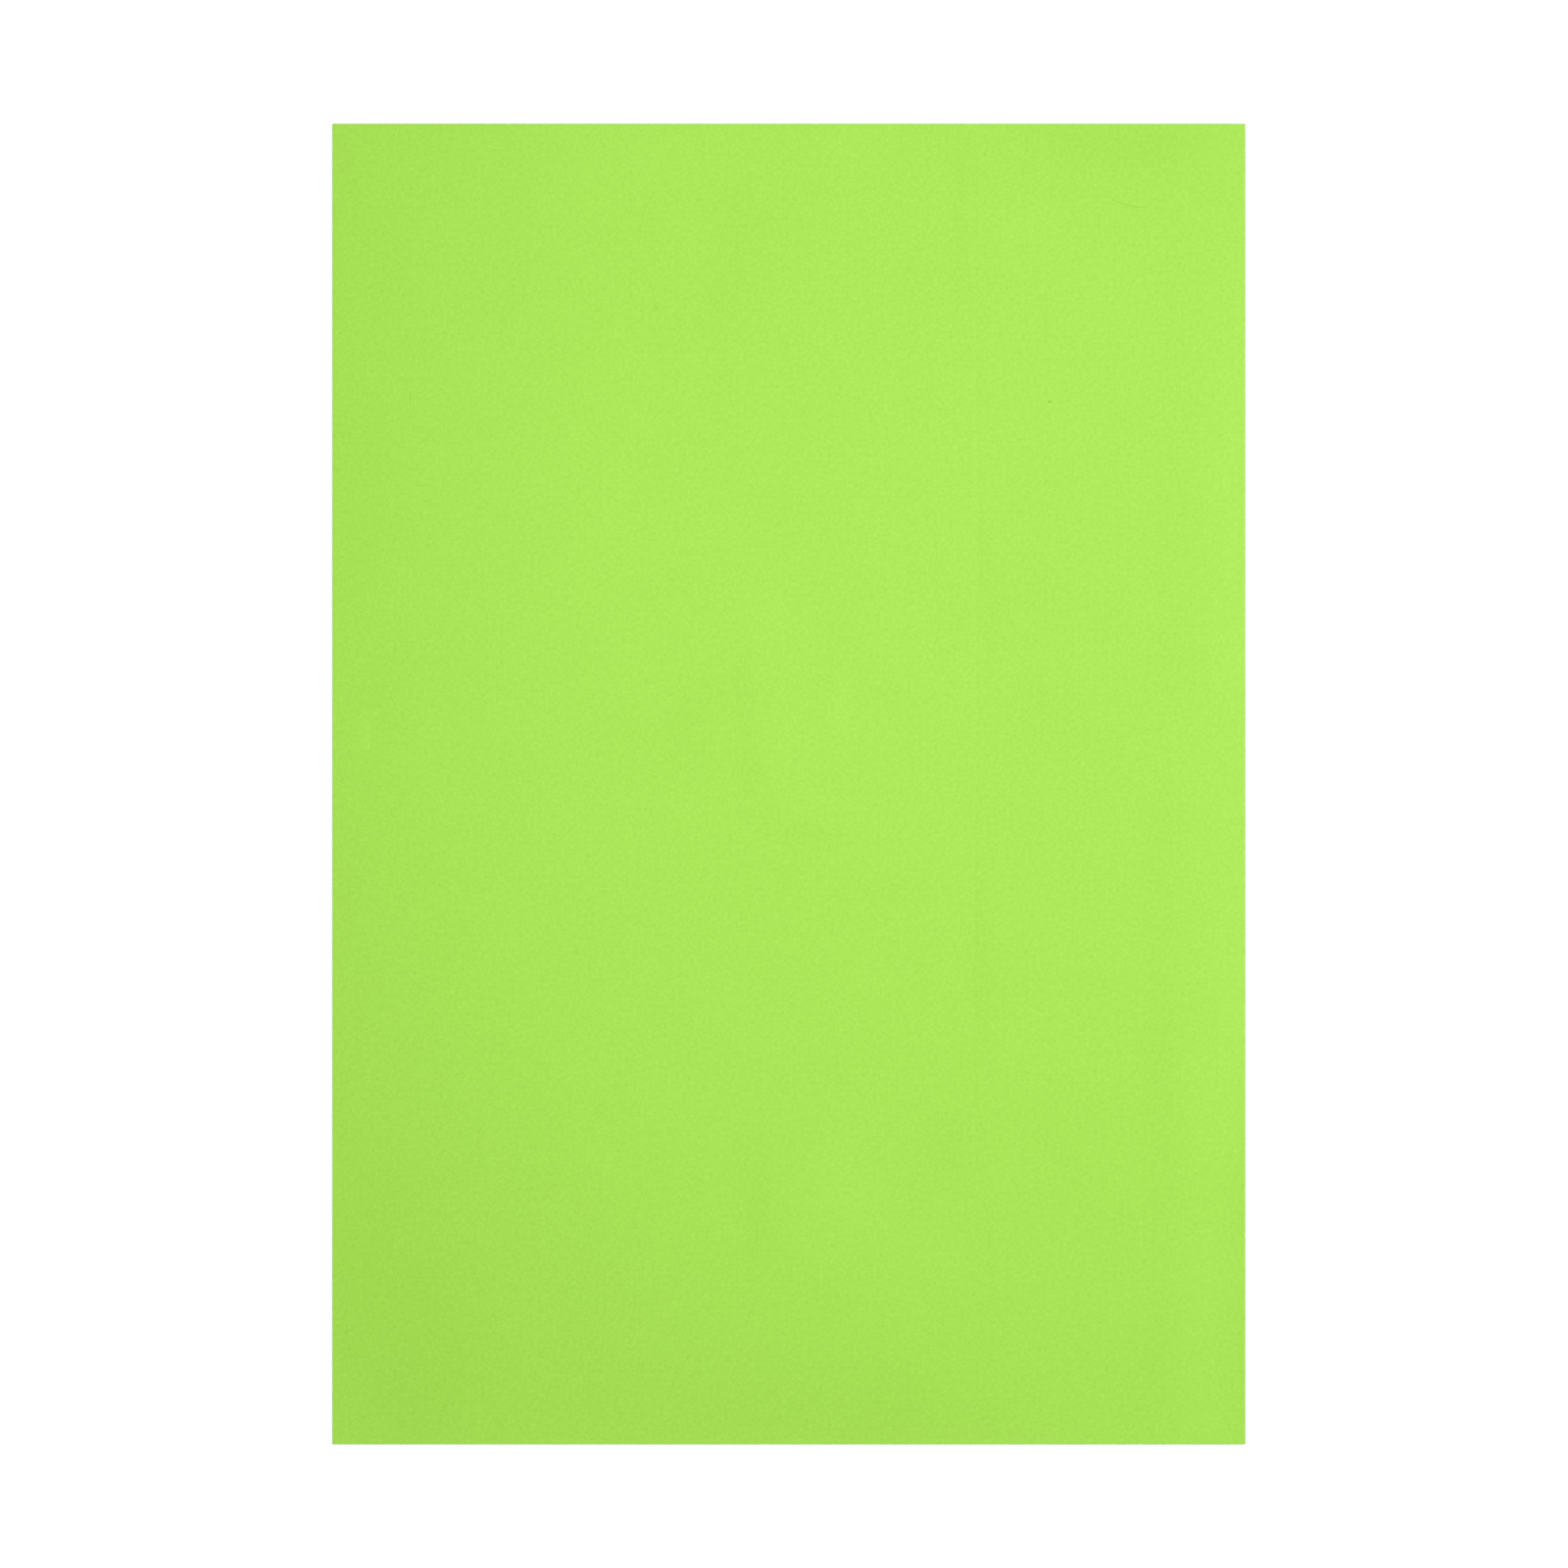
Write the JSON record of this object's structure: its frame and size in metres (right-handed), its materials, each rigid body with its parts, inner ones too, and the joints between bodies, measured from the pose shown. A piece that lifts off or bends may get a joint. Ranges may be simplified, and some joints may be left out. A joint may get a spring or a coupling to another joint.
{
  "type": "craft foam sheet",
  "caption": "Flat rectangular sheet of fine closed-cell craft foam, dyed lime green right through, with knife-cut square edges.",
  "frame": {"origin": "middle of the back face, which the sheet lies on", "axes": "+X across the width, +Y along the length, +Z out of the front face"},
  "size_m": [0.2, 0.2892, 0.002],
  "materials": {
    "foam": "matt fine-celled EVA foam skin, with the same foam cut open on the edges"
  },
  "bodies": {
    "root": {"foam_sheet": "foam"}
  },
  "joints": []
}
